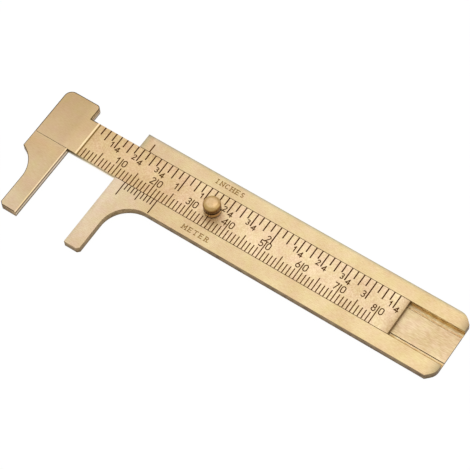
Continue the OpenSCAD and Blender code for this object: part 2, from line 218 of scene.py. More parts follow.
@dataclass(frozen=True)
class Finish(ABC):
    """A material of the caliper, named for what it is."""

    name: str

    def material(self) -> bpy.types.Material:
        """Returns the material, which the first call builds."""
        made = bpy.data.materials.get(self.name)
        if made is None:
            made = bpy.data.materials.new(self.name)
            made.use_nodes = True
            tree = made.node_tree
            place = add_node(tree, "ShaderNodeTexCoord", {}, {}).outputs["Object"]
            self.feed(tree, tree.nodes["Principled BSDF"], place)
        return made

    @abstractmethod
    def feed(self, tree: Any, shader: Any, place: Any) -> None:
        """Feeds the material's shader.

        Args:
            tree: The material's node tree.
            shader: The shader node.
            place: The coordinate socket, in metres.
        """

    def noise(self, tree: Any, place: Any, per_mm: tuple[float, float, float], detail: float) -> Any:
        """Adds noise with a scale for each axis.

        Args:
            tree: The material's node tree.
            place: The coordinate socket, in metres.
            per_mm: Noise cells per millimetre along X, Y and Z.
            detail: Octaves of the noise.

        Returns:
            The noise's factor socket.
        """
        scaled = add_node(tree, "ShaderNodeMapping", {}, {
            "Vector": place, "Scale": [cells / MM for cells in per_mm]}).outputs[0]
        return add_node(tree, "ShaderNodeTexNoise", {}, {
            "Vector": scaled, "Scale": 1.0, "Detail": detail}).outputs[0]

    def mix(self, tree: Any, share: Any, first: Any, second: Any, how: str = "MIX") -> Any:
        """Mixes two colours.

        Args:
            tree: The material's node tree.
            share: Share of the second colour, a number or a socket.
            first: A colour or a colour socket.
            second: The other one.
            how: The way in which they are mixed.

        Returns:
            The colour socket.
        """
        return add_node(tree, "ShaderNodeMix", {"data_type": "RGBA", "blend_type": how}, {
            0: share, MIX_FIRST: first, MIX_SECOND: second}).outputs[MIX_RESULT]


@dataclass(frozen=True)
class Brass(Finish):
    """A metal finish: a colour that drifts in soft patches, under a fine worked grain."""

    colour: str | Run
    # What the colour is multiplied by where the grain and the patches are deepest
    shade: str
    roughness: float
    grain: Grain = Grain.PLAIN
    # Width of one grain mark. The real marks are finer than a pixel, so they are drawn coarser.
    grain_mm: float = 0.3
    # Depth of the grain
    grain_depth_mm: float = 0.004
    # Length of a brush mark against its width
    grain_stretch: float = 5.0
    # Size of the soft patches where the tone drifts
    patch_mm: float = 7.0
    # Size of the smaller patches where the hue drifts
    mottle_mm: float = 2.5
    # Share of the fine grain in the shade
    grain_tint: float = 0.5
    # How far the grain takes the roughness up and down, as a share of it
    gloss_spread: float = 0.15
    # What the colour is multiplied by along another axis: painted shade on the upper rail, the sides and
    # the flanks, a browner tone on the head
    darkening_run: Run | None = None

    def feed(self, tree: Any, shader: Any, place: Any) -> None:
        """Feeds the shader a metal's colour, roughness and relief.

        Args:
            tree: The material's node tree.
            shader: The shader node.
            place: The coordinate socket, in metres.
        """
        fine = self.noise(tree, place, self._grain_scale(), GRAIN_DETAIL)
        gloss = self._spread(
            tree, fine, self.roughness * (1 - self.gloss_spread), self.roughness * (1 + self.gloss_spread))
        relief = add_node(tree, "ShaderNodeBump", {}, {
            "Strength": 1.0, "Distance": self.grain_depth_mm * MM, "Height": fine}).outputs[0]
        shader.inputs["Metallic"].default_value = 1.0
        tree.links.new(self._tint(tree, place, fine), shader.inputs["Base Color"])
        tree.links.new(gloss, shader.inputs["Roughness"])
        tree.links.new(relief, shader.inputs["Normal"])

    def _tint(self, tree: Any, place: Any, fine: Any) -> Any:
        """Adds the colour with its drift in tone and in hue, and its darkening along another axis, which is
        painted shade on most finishes.

        Args:
            tree: The material's node tree.
            place: The coordinate socket, in metres.
            fine: The grain's noise socket.

        Returns:
            The colour socket.
        """
        base = self.colour.socket(tree, place) if isinstance(self.colour, Run) else linear(self.colour)
        patch = self.noise(tree, place, (1 / self.patch_mm,) * 3, PATCH_DETAIL)
        mottle = self.noise(tree, place, (1 / self.mottle_mm,) * 3, MOTTLE_DETAIL)
        drift = self._spread(tree, patch, 0.0, 1 - self.grain_tint)
        speck = self._spread(tree, fine, 0.0, self.grain_tint)
        share = add_math(tree, "ADD", drift, speck)
        tone = self.mix(tree, share, WHITE, linear(self.shade))
        hue = self.mix(tree, self._spread(tree, mottle, 0.0, 1.0), ROSY, YELLOWISH)
        toned = self.mix(tree, 1.0, tone, hue, "MULTIPLY")
        # Darkening along another axis, painted shade on most finishes
        if self.darkening_run:
            toned = self.mix(tree, 1.0, toned, self.darkening_run.socket(tree, place), "MULTIPLY")
        return self.mix(tree, 1.0, base, toned, "MULTIPLY")

    def _spread(self, tree: Any, noise: Any, low: float, high: float) -> Any:
        """Spreads the middle of a noise over a range.

        Args:
            tree: The material's node tree.
            noise: The noise socket.
            low: Where the range starts.
            high: Where the range ends.

        Returns:
            The spread socket.
        """
        return add_node(tree, "ShaderNodeMapRange", {}, {
            "Value": noise, "From Min": NOISE_LOW, "From Max": NOISE_HIGH, "To Min": low,
            "To Max": high}).outputs[0]

    def _grain_scale(self) -> tuple[float, float, float]:
        """Returns the grain's cells per millimetre along X, Y and Z."""
        across = 1 / self.grain_mm
        along = across / self.grain_stretch
        if self.grain is Grain.BRUSHED:
            return along, across, across
        if self.grain is Grain.TURNED:
            return along, along, across
        return across, across, across


@dataclass(frozen=True)
class Wax(Finish):
    """Dark engraver's wax or dirt in a cut: matt, a little uneven in tone."""

    colour: str
    tone: str
    roughness: float
    patch_mm: float = 1.5
    # Wax that was rubbed down mirrors little of the studio
    sheen: float = 0.02

    def feed(self, tree: Any, shader: Any, place: Any) -> None:
        """Feeds the shader two tones in soft patches.

        Args:
            tree: The material's node tree.
            shader: The shader node.
            place: The coordinate socket, in metres.
        """
        patch = self.noise(tree, place, (1 / self.patch_mm,) * 3, GRAIN_DETAIL)
        tint = self.mix(tree, patch, linear(self.colour), linear(self.tone))
        tree.links.new(tint, shader.inputs["Base Color"])
        shader.inputs["Roughness"].default_value = self.roughness
        shader.inputs["Specular IOR Level"].default_value = self.sheen


# Tones that both rails have from the vernier on, darkest at the outer end
RAIL_STOPS = (
    (10.0, "#ECD9B5"), (40.0, "#F1DFB8"), (82.0, "#F0DDB3"), (83.0, "#EAD8AF"), (84.0, "#D6C5A0"),
    (84.5, "#C7B794"), (85.0, "#AFA183"))
# Satin brass of the lower rail and the fixed jaw: pale gold with soft mottles, darker towards both ends
RAIL = Brass("satin_brass_rail", Run(Axis.X, (
    (-2.8, "#DDD0BC"), (-2.3, "#E8DAC4"), (-1.7, "#EEDFC9")) + RAIL_STOPS),
    "#E6DACB", 0.36, Grain.BRUSHED, 0.2)
# The same brass on the upper rail, browner by the index line, and greyed along its outer edge with painted
# shade
UPPER_RAIL = replace(RAIL, name="satin_brass_upper_rail", colour=Run(Axis.X, (
    (-2.8, "#BCB19B"), (-2.3, "#D2C9B0"), (-2.0, "#D9CBAC"), (-1.6, "#E4D0B3"), (-1.2, "#E6CFB0"),
    (-0.8, "#EEDBBB"), (0.8, "#E9D7BB"), (1.6, "#EEDCC0")) + RAIL_STOPS), darkening_run=Run(Axis.Y, (
    (7.9, "#FFFFFF"), (8.35, "#EEF4FC"), (8.55, "#D6E0EE"), (8.75, "#C6D0E0"))))
# Milled floor of the channel, with the marks of the cutter
FLOOR = Brass("milled_brass_floor", Run(Axis.Y, (
    (-3.65, "#FAE8C8"), (-3.2, "#F5E2C0"), (-2.6, "#EEDBB9"), (3.65, "#EEDBB9"))),
    "#DDCFBE", 0.40, Grain.BRUSHED, 0.25, 0.006)
# Relief grooves beside it, rough from the cutter, with painted shade in their corners under the rails'
# lips, deepest along the lower one
RELIEF = Brass("grooved_brass_relief", Run(Axis.Y, (
    (-5.0, "#E8CE98"), (-4.3, "#D2B787"), (-4.1, "#D2B787"), (-4.0, "#FBE7C2"), (-3.85, "#FFF6DA"),
    (-3.65, "#FFEFCF"), (3.65, "#F0D8B4"), (3.95, "#F6E0BC"), (4.2, "#FFF4D6"), (4.5, "#FFF8DE"),
    (4.8, "#F2DAA9"), (5.0, "#E8CE98"))),
    "#E8D2B2", 0.5, Grain.BRUSHED, 0.25, 0.006, grain_tint=0.9)
# Undercut walls of the channel, painted browner as the shade that they stand in under the rails' lips
WALL = Brass("milled_brass_wall", "#F3E3BC", "#8C7858", 0.45, Grain.BRUSHED, 0.3, grain_tint=0.8)
# Face of the slide, etched to a fine pinkish stipple, and darker towards its inner end
SCALE = Brass("stippled_brass_scale", Run(Axis.X, (
    (-14.0, "#EBD3AB"), (3.0, "#F0D8B2"), (12.0, "#F8E2BF"), (30.0, "#FDE9C8"), (68.5, "#FBE9C8"),
    (69.6, "#EFDABB"), (70.2, "#E8D1AF"), (70.6, "#DFC8A6"), (70.9, "#D0B794"), (71.1, "#C6AE88"))),
    "#DCCFC2", 0.42, Grain.STIPPLED, 0.42, 0.006)
# Head of the slide, rubbed smooth, and browner towards its top and its outer end
HEAD = Brass("smooth_brass_head", Run(Axis.Y, (
    (-4.8, "#E6D0AE"), (-1.0, "#E3CCA7"), (5.0, "#D9C299"), (8.8, "#D7C097"))),
    "#EFE8DE", 0.36, Grain.BRUSHED, 0.2, darkening_run=Run(Axis.X, (
        (-26.0, "#F2EFF1"), (-19.0, "#F2EFF1"), (-17.4, "#FCFBFC"), (-14.4, "#FFFFFF"))))
# Moving jaw, rubbed with abrasive, between the head and the rails in tone, and palest at its tip
JAW = Brass("rubbed_brass_jaw", Run(Axis.Y, (
    (-25.0, "#E4D4BA"), (-20.5, "#E2D1B6"), (-17.4, "#E0CCAF"), (-15.0, "#DEC8A8"), (-12.6, "#DAC7A3"),
    (-9.0, "#D8C19E"), (-6.6, "#DCC39C"), (-5.0, "#DCC6A4"), (5.0, "#DCC6A4"))),
    "#EBE2D6", 0.38, Grain.BRUSHED, 0.2)
# Sawn sides of the plates, spotted, and painted dark as the shade that they stand in, darkest in a painted
# shadow along their foot
SIDE = Brass("brass_side_painted_shade", Run(Axis.X, (
    (-26.0, "#B0976C"), (-18.5, "#B2996F"), (-17.0, "#C5AA7E"), (0.0, "#BAA47C"), (15.0, "#AE9772"),
    (60.0, "#AD9773"), (70.0, "#A6906D"), (85.0, "#A48E6D"))),
    "#93806A", 0.5, Grain.BRUSHED, 0.25, 0.006, patch_mm=3.0, darkening_run=Run(Axis.Z, (
        (0.0, "#CCCCCC"), (0.3, "#CCCCCC"), (0.6, "#E0E0E0"), (1.0, "#EEEEEE"), (1.4, "#F9F9F9"),
        (1.7, "#FFFFFF"), (2.0, "#FFFFFF"))))
# Rims of the plates and edges in the channel, painted dark as the shade along their rounded edges
RIM = Brass("brass_rim_painted_shade", "#5E4E38", "#D8CCBC", 0.5, Grain.BRUSHED, 0.25)
# Lapped measuring face, shiny in the middle, with painted shade along both edges
LAPPED = Brass("lapped_brass_face", Run(Axis.Z, (
    (0.0, "#6A5A44"), (0.45, "#786850"), (0.75, "#E2D8C6"), (1.05, "#E2D8C6"), (1.3, "#8A7048"),
    (1.8, "#7C6038"))),
    "#D8CDBE", 0.3, Grain.BRUSHED, 0.2)
# Flanks of the slide, painted nearly white below as a reflection of the white table, with painted shade
# along the slope above it and in the corner by the head
FLANK = Brass("brass_flank_painted_reflection_and_shade", Run(Axis.Z, (
    (0.8, "#FFFDF4"), (1.2, "#FBF6E8"), (1.4, "#D4CAB2"), (1.5, "#A89A7E"), (1.6, "#A89A7C"),
    (1.72, "#C0B090"), (1.86, "#DCCEAC"), (2.0, "#E2D4B2"))),
    "#E4DACA", 0.3, Grain.BRUSHED, 0.2, darkening_run=Run(Axis.X, (
        (-16.7, "#A0A0A0"), (-15.0, "#BCBCBC"), (-13.0, "#D4D4D4"), (-11.0, "#F4F4F4"),
        (-9.0, "#FFFFFF"))))
# Small bevels of the moving jaw and the zero line, filed last, and painted pale as the highlight that they
# catch
BURNISHED = Brass("burnished_brass_edge_highlight", "#FFEFCF", "#F0E4D2", 0.25, Grain.BRUSHED, 0.2)
# Stamped words, which are not waxed but have gone brown
CUT = Brass("stamped_brass_cut", "#BE9E6A", "#CDBBA0", 0.45)
# Knob off the lathe, shaded by height: a painted highlight on the crown, dark on its side, painted shade in
# the groove and a painted shadow at the foot
KNOB = Brass("turned_brass_knob", Run(Axis.Z, (
    (2.0, "#4A3820"), (2.3, "#6A563A"), (2.6, "#B09C78"), (3.3, "#BCA884"), (3.5, "#6A5434"),
    (3.65, "#3E2E1A"), (3.8, "#57432A"), (4.1, "#6E5636"), (4.7, "#7E6440"), (5.0, "#9C8258"),
    (5.35, "#B89E6E"), (5.5, "#C4AA7A"), (5.6, "#EAD0A8"), (5.7, "#EFD6AF"))),
    "#E8DCC8", 0.28, Grain.TURNED, 0.12, 0.003)
# Rolled bronze of the hidden dowels, washer and spring: brown and dull
BRONZE = Brass("rolled_bronze", "#B98A52", "#DCCBB2", 0.4)
# Ground steel of the stop pin: a plain grey
STEEL = Brass("ground_steel", "#9A9A98", "#DADADA", 0.35)
# Brown wax in the millimetre lines, the figures and the index line
WAX = Wax("engraving_wax", "#603606", "#6C430C", 0.8)
# Blacker wax in the inch lines and in the vernier
BLACK_WAX = Wax("engraving_wax_black", "#4A2200", "#542A00", 0.8)
# Wax that is half rubbed out of the zero line
WORN_WAX = Wax("engraving_wax_worn", "#90703A", "#987842", 0.8)
# Dirt in the seam between the head and the moving jaw: nearly black
DIRT = Wax("seam_dirt", "#1E1206", "#2A1A0C", 0.9)


def welded(node: str) -> Any:
    """Copies a CAD node's mesh and merges its doubled corners.

    Args:
        node: The node's name.

    Returns:
        A new bmesh.
    """
    work = bmesh.new()
    work.from_mesh(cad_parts[node].data)
    bmesh.ops.remove_doubles(work, verts=work.verts, dist=WELD)
    return work


def finished(work: Any, name: str, finishes: list[Finish]) -> bpy.types.Mesh:
    """Turns a bmesh into a plain mesh and frees it.

    Args:
        work: The bmesh.
        name: Name of the mesh.
        finishes: A finish for each of its material slots.

    Returns:
        The new mesh.
    """
    mesh = bpy.data.meshes.new(name)
    work.to_mesh(mesh)
    work.free()
    for finish in finishes:
        mesh.materials.append(finish.material())
    return mesh


def add_piece(mesh: bpy.types.Mesh, name: str, body: str, node: str = "") -> None:
    """Makes a finished mesh a piece of the caliper.

    Args:
        mesh: The mesh.
        name: Name of the piece.
        body: The body that it moves with.
        node: The CAD node that it stands for, if there is one.
    """
    piece = bpy.data.objects.new(name, mesh)
    bpy.context.scene.collection.objects.link(piece)
    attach(piece, body)
    if node:
        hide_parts(node)
    LOG.info("%s: %d faces", piece.name, len(mesh.polygons))


@dataclass(frozen=True)
class Engraving:
    """Levels and widths of the engraved lines in the caliper's face."""

    depth: float = 0.1 * MM
    fill_below_face: float = 0.03 * MM
    line_width: float = 0.28 * MM
    inch_line_width: float = 0.32 * MM
    zero_line_width: float = 0.42 * MM


@dataclass
class Plate:
    """A flat CAD piece, welded, with softened edges and a finish for each region."""

    node: str
    body: str
    slot: str
    finishes: dict[Region, Finish]
    edge_radius: float = 0.07 * MM
    edge_steps: int = 2
    # Width of the strip of painted shade along the top's rims
    rim_width: float = 0.0
    # Where the top meets another piece's along Y, so that it has no rim there, and its dirt's width
    seam: float = math.inf
    dirt_width: float = 0.05 * MM
    engraving: Engraving = Engraving()
    # Corners of the piece's box, and where the head ends along X
    low: Vector = field(init=False)
    high: Vector = field(init=False)
    head_end: float = field(init=False)

    def __post_init__(self) -> None:
        """Takes the places that the regions and edges are told by."""
        self.low, self.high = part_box(self.node)
        self.head_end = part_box("moving_jaw")[1].x

    def build(self) -> None:
        """Makes the dressed copy of the CAD piece, which then stands for it."""
        work = welded(self.node)
        bmesh.ops.dissolve_limit(work, angle_limit=ONE_FACE, verts=work.verts, edges=work.edges)
        work.normal_update()
        self.dress(work)
        self._soften(work)
        slots = [self.finishes.get(region, self.finishes[Region.FACE]) for region in Region]
        name = f"{self.node}_dressed"
        add_piece(finished(work, name, slots), name, self.body, self.node)

    def dress(self, work: Any) -> None:
        """Gives each face its region, and sets off the strips along the rims and the seam.

        Args:
            work: The welded copy.
        """
        for face in work.faces:
            face.material_index = self.region(face).value
        if self.rim_width:
            self._darken_rims(work)
            self._line_seam(work)

    def engraved(self, face: Any) -> bool:
        """Tells whether a face is the wall or the floor of an engraved line.

        Args:
            face: The bmesh face.

        Returns:
            True for a face between the engraving's floor and the caliper's face.
        """
        lowest = min(corner.co.z for corner in face.verts)
        return self.high.z - self.engraving.depth - SLACK < lowest < self.high.z - SLACK

    def region(self, face: Any) -> Region:
        """Tells which finish a face of the welded copy takes.

        Args:
            face: The bmesh face.

        Returns:
            The face's region.
        """
        return Region.FACE if abs(face.normal.z) > FACING else Region.SIDE

    def edge_region(self, face: Any) -> Region:
        """Tells which finish a softened edge takes: the rims of the top take the painted shade.

        Args:
            face: A face of the rounding.

        Returns:
            The face's region.
        """
        return Region.RIM if face.normal.z > UPRIGHT else Region.SIDE

    def softened(self, edge: Any) -> bool:
        """Tells whether a sharp edge is softened.

        Args:
            edge: The bmesh edge.

        Returns:
            True for a rim of the top and for an upright corner.
        """
        first, second = (corner.co for corner in edge.verts)
        upright = (first.xy - second.xy).length < SLACK
        return upright or min(first.z, second.z) > self.high.z - SLACK

    def rimmed(self, face: Any) -> bool:
        """Tells whether a face gets the dark strip along its rims.

        Args:
            face: The bmesh face.

        Returns:
            True for a face of the top.
        """
        return face.normal.z > SQUARE and face.calc_center_median().z > self.high.z - SLACK

    def at_seam(self, edge: Any) -> bool:
        """Tells whether an edge lies along the seam.

        Args:
            edge: The bmesh edge.

        Returns:
            True where both its ends do.
        """
        return all(abs(corner.co.y - self.seam) < SLACK for corner in edge.verts)

    def _seam_strips(self, work: Any, reach: float) -> list[Any]:
        """Finds the top's faces beside the seam.

        Args:
            work: The welded copy, with the strips along its rims.
            reach: How far from the seam they may go.

        Returns:
            The faces.
        """
        tops = (face for face in work.faces if self.rimmed(face))
        return [
            face for face in tops if face.calc_center_median().x < self.head_end
            and all(abs(corner.co.y - self.seam) < reach + SLACK for corner in face.verts)]

    def _line_seam(self, work: Any) -> None:
        """Sets off a thin line of dirt along the seam.

        Args:
            work: The welded copy, with the strips along its rims.
        """
        for shift in (-self.dirt_width, self.dirt_width):
            strips = self._seam_strips(work, self.rim_width)
            corners = list({corner for face in strips for corner in face.verts})
            edges = list({edge for face in strips for edge in face.edges})
            bmesh.ops.bisect_plane(
                work, geom=corners + edges + strips, dist=SNAP, plane_co=(0, self.seam + shift, 0),
                plane_no=(0, 1, 0))
        for face in self._seam_strips(work, self.dirt_width):
            face.material_index = Region.SEAM.value

    def _darken_rims(self, work: Any) -> None:
        """Sets off a strip of painted shade along the top's rims.

        Args:
            work: The welded copy.
        """
        tops = [face for face in work.faces if self.rimmed(face)]
        strips = bmesh.ops.inset_region(
            work, faces=tops, thickness=self.rim_width, use_even_offset=True, use_boundary=True)["faces"]
        for strip in strips:
            for edge in strip.edges:
                at_side = any(abs(face.normal.z) < FACING for face in edge.link_faces)
                if at_side and not self.at_seam(edge):
                    strip.material_index = Region.RIM.value

    def _soften(self, work: Any) -> None:
        """Rounds the chosen edges and smooths the round walls.

        Args:
            work: The welded copy.
        """
        chosen = []
        for edge in work.edges:
            if len(edge.link_faces) != 2:
                continue
            angle = edge.calc_face_angle(0)
            cut_in = any(self.engraved(face) for face in edge.link_faces)
            if angle > SHARP and not cut_in and self.softened(edge) and not self.at_seam(edge):
                chosen.append(edge)
            if ROUND_WALL < angle < SHARP and all(abs(face.normal.z) < UPRIGHT for face in edge.link_faces):
                for face in edge.link_faces:
                    face.smooth = True
        made = bmesh.ops.bevel(
            work, geom=chosen, offset=self.edge_radius, segments=self.edge_steps, profile=CIRCULAR,
            affect="EDGES")
        work.normal_update()
        for face in made["faces"]:
            face.smooth = False
            face.material_index = self.edge_region(face).value


@dataclass
class FramePlate(Plate):
    """The channelled frame with the fixed jaw, the vernier and the stamped words."""

    edge_radius: float = 0.1 * MM
    # Half width of the channel at its mouth, and how far its walls are undercut
    mouth: float = SLIDE_HALF_WIDTH + RUNNING_GAP
    undercut: float = 0.2 * MM
    # Height of the land between the relief grooves
    land_level: float = 0.7 * MM
    # The engraving past this place is the stamped words
    word_start: float = 14.0 * MM

    def region(self, face: Any) -> Region:
        """Tells which finish a face of the frame takes.

        Args:
            face: The bmesh face.

        Returns:
            The face's region.
        """
        middle = face.calc_center_median()
        lying = abs(face.normal.z) > FACING
        if self.engraved(face):
            if middle.x < self.word_start:
                return Region.FILL
            return Region.CUT if lying else Region.SIDE
        in_channel = abs(middle.y) < self.mouth + self.undercut + SLACK
        if in_channel and SLACK < middle.z < self.high.z - SLACK and abs(face.normal.x) < FACING:
            if not lying:
                return Region.WALL if abs(middle.y) > self.mouth - SLACK else Region.SIDE
            return Region.FLOOR if middle.z > self.land_level - SLACK else Region.RELIEF
        if face.normal.x < -NEARLY_SQUARE and middle.x < self.low.x + SLACK:
            return Region.LAPPED
        return self._rail(middle) if lying else Region.SIDE

    def edge_region(self, face: Any) -> Region:
        """Tells which finish a softened edge takes: painted shade lies by the land and on the lips.

        Args:
            face: A face of the rounding.

        Returns:
            The face's region.
        """
        middle = face.calc_center_median()
        in_channel = abs(middle.y) < self.mouth + self.undercut
        if not in_channel or abs(face.normal.x) > UPRIGHT:
            return self._rail(middle) if face.normal.z > UPPER_HALF else Region.SIDE
        if middle.z < self.land_level + SLACK:
            return Region.RIM if middle.y > 0 else Region.SIDE
        if face.normal.z < UPPER_HALF:
            return self._rail(middle)
        return Region.RIM if middle.y < 0 else Region.SIDE

    def softened(self, edge: Any) -> bool:
        """Tells whether a sharp edge is softened.

        Args:
            edge: The bmesh edge.

        Returns:
            True for the edges of the land too.
        """
        on_land = all(
            abs(corner.co.y) < self.mouth - SLACK and abs(corner.co.z - self.land_level) < SLACK
            for corner in edge.verts)
        along = abs(edge.verts[0].co.y - edge.verts[1].co.y) < SLACK
        return on_land and along or super().softened(edge)

    def _rail(self, middle: Vector) -> Region:
        """Tells which rail a place belongs to.

        Args:
            middle: The place.

        Returns:
            The rail's region.
        """
        return Region.UPPER if middle.y > 0 else Region.FACE


@dataclass
class SlidePlate(Plate):
    """The graduated slide with the upper layer of the head."""

    edge_radius: float = 0.06 * MM
    rim_width: float = 0.2 * MM
    seam: float = -SLIDE_HALF_WIDTH
    zero_line: float = field(init=False)

    def __post_init__(self) -> None:
        """Takes the place of the zero line too."""
        super().__post_init__()
        self.zero_line = self.high.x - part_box("frame")[1].x

    def region(self, face: Any) -> Region:
        """Tells which finish a face of the slide takes.

        Args:
            face: The bmesh face.

        Returns:
            The face's region.
        """
        middle = face.calc_center_median()
        tilt = face.normal.z
        if self.engraved(face):
            return Region.BURNISHED if FACING < tilt < SQUARE else Region.FILL
        if abs(tilt) > FACING:
            return Region.HEAD if middle.x < self.zero_line or tilt < 0 else Region.FACE
        on_flank = abs(middle.y) > SLIDE_HALF_WIDTH and abs(face.normal.x) < FACING
        return Region.LAPPED if on_flank and middle.x > self.head_end else Region.SIDE

    def softened(self, edge: Any) -> bool:
        """Tells whether a sharp edge is softened: the graduated edges stay crisp.

        Args:
            edge: The bmesh edge.

        Returns:
            True on the head and at the inner end.
        """
        at_an_end = all(
            corner.co.x < self.head_end + SLACK or corner.co.x > self.high.x - SLACK
            for corner in edge.verts)
        return at_an_end and super().softened(edge)

    def rimmed(self, face: Any) -> bool:
        """Tells whether a face gets the dark strip along its rims.

        Args:
            face: The bmesh face.

        Returns:
            True for the top of the head.
        """
        return face.calc_center_median().x < self.zero_line and super().rimmed(face)


@dataclass
class JawPlate(Plate):
    """The moving jaw with the lap under the head."""

    edge_radius: float = 0.05 * MM
    rim_width: float = 0.15 * MM
    seam: float = -SLIDE_HALF_WIDTH

    def region(self, face: Any) -> Region:
        """Tells which finish a face of the jaw takes.

        Args:
            face: The bmesh face.

        Returns:
            The face's region.
        """
        if face.normal.x > NEARLY_SQUARE:
            return Region.LAPPED
        if FACING < face.normal.z < SQUARE:
            return Region.BURNISHED
        return super().region(face)

    def edge_region(self, face: Any) -> Region:
        """Tells which finish a softened edge takes: the upper one of the bevel is as bright as it is.

        Args:
            face: A face of the rounding.

        Returns:
            The face's region.
        """
        if face.normal.x < LEANING or face.normal.z < LEANING:
            return super().edge_region(face)
        return Region.BURNISHED if face.normal.z > UPPER_HALF else Region.LAPPED


@dataclass
class ThumbKnob:
    """The turned knob, welded and shaded round."""

    node: str = "thumb_knob"
    body: str = "slide"
    slot: str = "brass_knob"
    # Edges that turn by more than this stay crisp
    crease: float = math.radians(35)

    def build(self) -> None:
        """Makes the smooth copy of the knob, which then stands for it."""
        work = welded(self.node)
        for edge in work.edges:
            edge.smooth = len(edge.link_faces) == 2 and edge.calc_face_angle(0) < self.crease
        for face in work.faces:
            face.smooth = True
        name = f"{self.node}_dressed"
        add_piece(finished(work, name, [KNOB]), name, self.body, self.node)


@dataclass
class InnerPieces:
    """The small CAD pieces that keep their own meshes."""

    finishes: dict[str, Finish] = field(default_factory=lambda: {
        "jaw_dowels": BRONZE, "knob_washer": BRONZE, "friction_spring": BRONZE, "stop_pin": STEEL})

    def dress(self) -> None:
        """Gives each piece its metal."""
        for node, finish in self.finishes.items():
            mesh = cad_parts[node].data
            mesh.materials.clear()
            mesh.materials.append(finish.material())
            LOG.info("%s: %s", node, finish.name)


@dataclass(frozen=True)
class LineRow:
    """One row of engraved lines, in metres: where it starts and how its lengths repeat."""

    start: tuple[float, float]
    # Direction of the lines from the edge that they rise from, along Y
    towards: float
    plain: float
    width: float
    wax: Wax
    pitch: float = MM
    count: int = 1
    # Number of the row's first line
    first: int = 0
    # Every so many lines a longer one: the last that fits a line wins
    longer: tuple[tuple[int, float], ...] = ()


